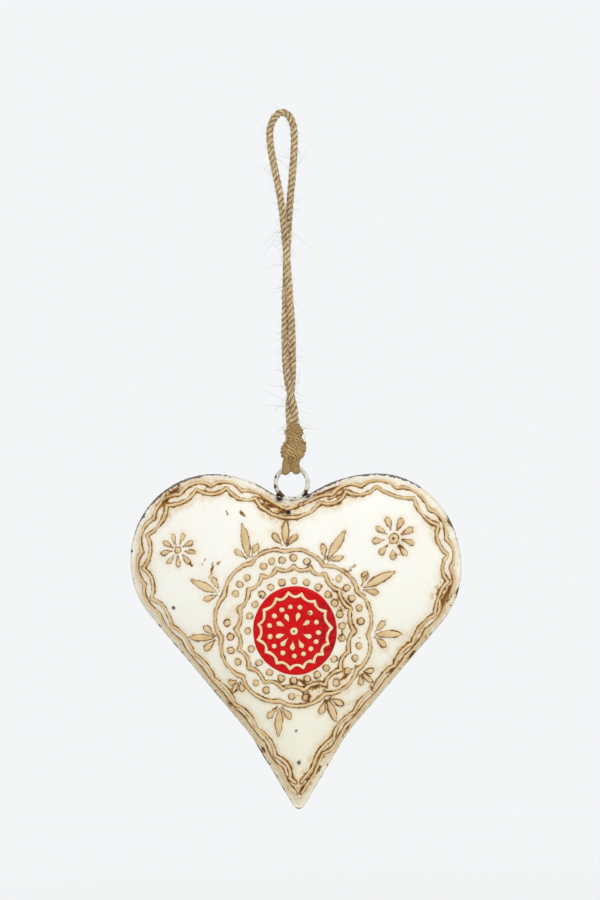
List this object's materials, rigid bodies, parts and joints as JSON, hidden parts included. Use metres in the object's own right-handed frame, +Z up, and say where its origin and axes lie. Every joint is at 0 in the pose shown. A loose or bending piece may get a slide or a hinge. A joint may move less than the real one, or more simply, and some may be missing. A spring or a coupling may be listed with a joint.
{
  "type": "hanging tin heart ornament",
  "caption": "Hollow tin heart in cream paint with piped scallops, leaves and flowers round a red enamel centre, hung by a wire ring from a knotted jute twine loop.",
  "frame": {"origin": "the inside top of the twine loop, where it hangs on a hook", "axes": "+Z up, -Y out of the decorated front, +X to the right of someone who looks at the front"},
  "size_m": [0.1595, 0.0353, 0.3375],
  "materials": {
    "cream_paint": "semi-gloss hand-brushed paint over tinplate, shaded brown beside the ornament",
    "seam_paint": "cream paint worn to dark metal along the soldered joint",
    "ring_paint": "cream paint over wire, chipped",
    "solder": "painted solder, dark in the creases",
    "red_enamel": "glossy red enamel paint",
    "piped_paste": "hard piped paste, satin, antiqued with brown glaze",
    "jute": "three-ply jute twine, rough with loose fibres"
  },
  "bodies": {
    "loop": {"twine_loop": "jute"},
    "stem": {"twine_leg_left": "jute", "twine_leg_right": "jute"},
    "knot": {"small_knot": "jute", "main_knot": "jute", "hitch_left": "jute", "hitch_right": "jute"},
    "heart": {"front_shell": "cream_paint", "back_shell": "cream_paint", "solder_seam": "seam_paint", "hanging_ring": "ring_paint", "ring_solder_left": "solder", "ring_solder_right": "solder", "red_enamel_disc": "red_enamel", "outer_border_bead": "piped_paste", "inner_border_bead": "piped_paste", "medallion_outer_ring": "piped_paste", "medallion_inner_ring": "piped_paste", "centre_ring": "piped_paste", "outer_dots": "piped_paste", "inner_dots": "piped_paste", "centre_dots": "piped_paste", "centre_petals": "piped_paste", "centre_boss": "piped_paste", "left_flower_petals": "piped_paste", "left_flower_boss": "piped_paste", "right_flower_petals": "piped_paste", "right_flower_boss": "piped_paste", "leaf_sprig_01": "piped_paste", "leaf_sprig_02": "piped_paste", "leaf_sprig_03": "piped_paste", "leaf_sprig_04": "piped_paste", "leaf_sprig_05": "piped_paste", "leaf_sprig_06": "piped_paste", "leaf_sprig_07": "piped_paste", "leaf_sprig_08": "piped_paste", "leaf_sprig_09": "piped_paste", "leaf_sprig_10": "piped_paste", "leaf_sprig_11": "piped_paste"}
  },
  "joints": [
    {"name": "twine_twist", "type": "hinge", "parent": "loop", "child": "stem", "pos_m": [0, 0, -0.09], "axis": [0, 0, 1], "range_deg": [-180, 180]},
    {"name": "twine_bend", "type": "hinge", "parent": "stem", "child": "knot", "pos_m": [0, 0, -0.1461], "axis": [1, 0, 0], "range_deg": [-60, 60]},
    {"name": "ring_turn", "type": "hinge", "parent": "knot", "child": "heart", "pos_m": [0, 0, -0.1771], "axis": [0, 1, 0], "range_deg": [-55, 55]}
  ]
}
